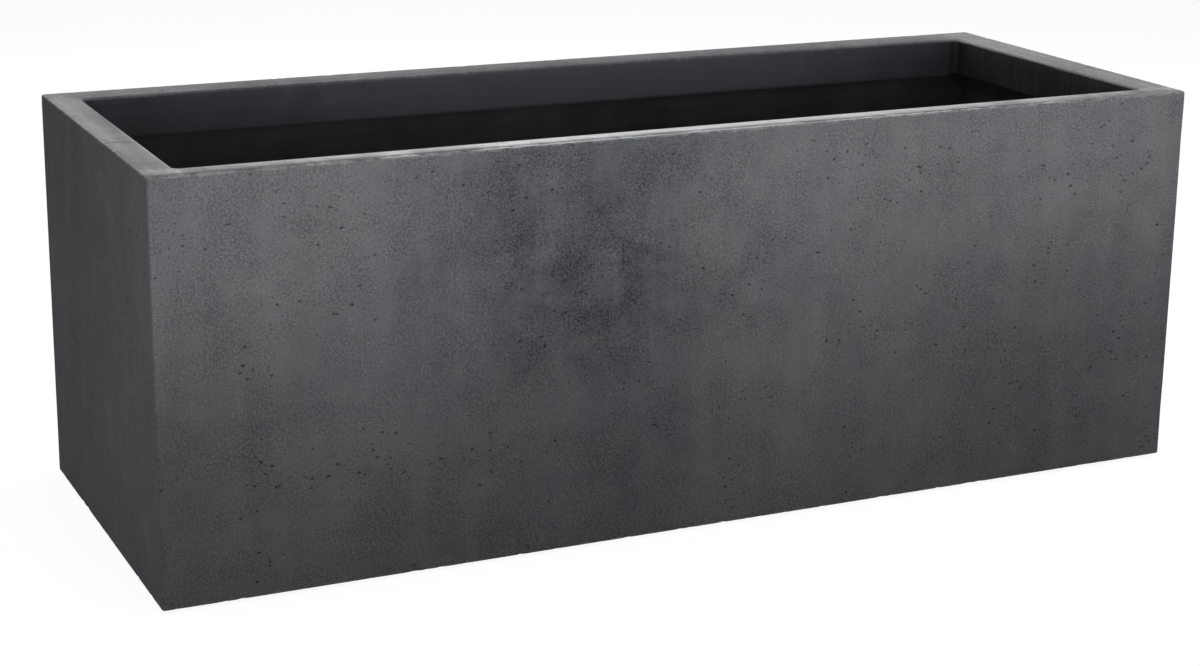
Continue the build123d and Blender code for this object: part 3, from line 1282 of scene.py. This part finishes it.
def rim_face() -> Cement:
    """The rim: painted highlights along the front, on the inner edges and on both ends, painted shade along
    the back, on the front's outer band and on the end lips, dark on the lip, with the joint's shadow at each
    end.
    """
    top = TroughSizes().height
    return Cement(
        "cement_rim",
        CoatZone.RIM,
        bare=screen(109, 109, 111),
        coat=screen(46, 47, 51),
        roughness=0.60,
        specular=0.20,
        pores=0.7,
        grain=0.34,
        relief=0.5,
        mottle=1.6,
        streaks=0.16,
        wear=0.24,
        marks_and_painted_light=(
            # Painted highlight along the middle of the front rim top.
            Mark((0.02, -0.168, top), (0.50, 0.018, 0.02), 2.50),
            # Painted shade on the outer band of the front rim top.
            Mark((-0.15, -0.1850, top), (0.60, 0.0085, 0.02), -0.60, (1.0, 0.7), 0.5),
            # Painted highlight on chips along the front rim's outer edge.
            Mark((-0.02, -0.1869, 0.3645), (0.33, 0.0026, 0.004), 1.9, (1.0, 0.8), 4.0),
            # Painted highlight on the back of the left rim, then a darker strip along its inner side.
            Mark((-0.492, 0.08, top), (0.016, 0.20, 0.02), 0.45, rag=2.6),
            Mark((-0.476, 0.04, top), (0.016, 0.12, 0.02), -0.50, rag=2.6),
            # Painted highlights on the right rim.
            Mark((0.485, 0.13, top), (0.04, 0.14, 0.02), 0.80),
            Mark((0.485, -0.10, top), (0.03, 0.14, 0.02), 0.50),
            # Painted shade along the back rim.
            Mark((-0.12, 0.172, top), (0.60, 0.04, 0.02), -0.62),
            # Painted highlights along the inner edges of the front, left and right rims.
            Mark((0.0, -0.1590, 0.3635), (0.62, 0.0040, 0.003), 1.4, rag=0.6),
            Mark((-0.4715, -0.08, 0.3635), (0.0040, 0.16, 0.003), 1.0, rag=0.6),
            Mark((0.4720, 0.0, 0.3635), (0.0035, 0.20, 0.003), 0.4, rag=0.6),
            Mark((-0.485, -0.048, top), (0.03, 0.0012, 0.01), -0.7, (1.0, 0.5), 0.3),
            Mark((0.485, -0.048, top), (0.03, 0.0012, 0.01), -0.7, (1.0, 0.5), 0.3),
        ),
        coat_marks_and_painted_shade=(
            Mark((0.06, 0.1575, 0.345), (0.40, 0.02, 0.08), 0.80, rag=1.0),
            # Painted shade on the right and left end lips.
            Mark((0.47, 0.0, 0.345), (0.012, 0.30, 0.06), -0.42, (1.2, 0.6)),
            Mark((-0.47, 0.0, 0.345), (0.012, 0.30, 0.06), -0.20, (1.2, 0.6)),
        ),
        polish=(Mark((-0.02, -0.166, top), (0.42, 0.020, 0.02), 0.36, rag=1.0),),
    )


def main() -> None:
    """Build the studio, then every piece of the planter."""
    logging.basicConfig(level=logging.INFO, format="%(name)s %(message)s")
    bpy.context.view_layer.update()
    Studio().build()
    end_face = Cement(
        "cement_end_face", CoatZone.WALL, pores=0.8, grain=0.30, relief=0.9, mottle=0.8, streaks=0.05
    )
    WallPanels().build(long_face().material(), end_face.material())
    FoldedRim().build(rim_face().material())
    base = Cement("cement_base", CoatZone.FLOOR, pores=0.7).material()
    screw = Zinc("zinc_plate", spangle=420.0, roughness=0.36).material()
    rubber = Moulded("rubber", screen(34, 34, 36), screen(62, 61, 59), 0.62, 900.0).material()
    plastic = Moulded("drain_plastic", screen(44, 45, 48), screen(70, 69, 67), 0.45, 1300.0).material()
    finishes = {
        "base_": base,
        "rim_splice": base,
        "corner_angle": Zinc("galvanised_sheet").material(),
        "angle_screws": screw,
        "foot_screws": screw,
        "foot_": rubber,
        "drain_plug": rubber,
        "drain_": plastic,
    }
    InnerWorks(finishes).build()


if __name__ == "__main__":
    main()
